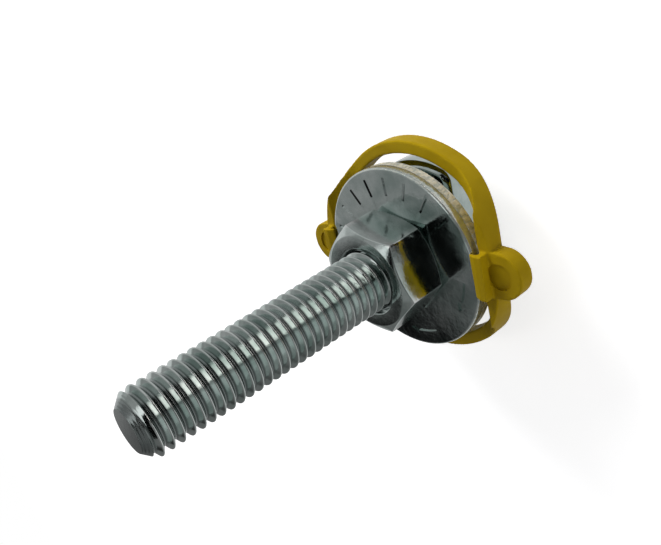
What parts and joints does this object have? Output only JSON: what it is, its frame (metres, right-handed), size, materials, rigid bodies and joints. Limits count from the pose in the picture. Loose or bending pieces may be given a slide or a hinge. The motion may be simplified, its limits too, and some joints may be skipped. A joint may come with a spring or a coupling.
{
  "type": "hammer head bolt",
  "caption": "Zinc plated hammer head bolt for mounting channels, with a hexagon nut, a thick round washer and a bowed plastic spring clip with finger ears.",
  "frame": {"origin": "middle of the hammer head's flat foot, on the bolt's axis", "axes": "+Z along the bolt's axis from the head to the stud's tip, +X to one finger ear of the clip, +Y along the hammer head"},
  "size_m": [0.0362, 0.0294, 0.0495],
  "materials": {
    "bolt_zinc": "bright zinc plating over a rolled thread",
    "washer_zinc": "bright zinc plating on a blanked disc",
    "nut_zinc": "bright zinc plating",
    "clip_plastic": "moulded yellow plastic, satin"
  },
  "bodies": {
    "bolt": {"hammer_bolt": "bolt_zinc"},
    "washer": {"washer": "washer_zinc"},
    "nut": {"hex_nut": "nut_zinc"},
    "clip": {"spring_clip": "clip_plastic"}
  },
  "joints": [
    {"name": "washer_slide", "type": "slide", "parent": "bolt", "child": "washer", "axis": [0, 0, 1], "range_m": [-0.00241, 0.03251]},
    {"name": "nut_turn", "type": "hinge", "parent": "washer", "child": "nut", "pos_m": [0, 0, 0.01275], "axis": [0, 0, 1], "range_deg": [-691.2, 9360]},
    {"name": "clip_turn", "type": "hinge", "parent": "washer", "child": "clip", "pos_m": [0, 0, 0.0075], "axis": [0, 0, 1], "continuous": true}
  ],
  "couplings": [
    {"joint": "washer_slide", "follows": "nut_turn", "m_per_rad": 0.00019894}
  ]
}
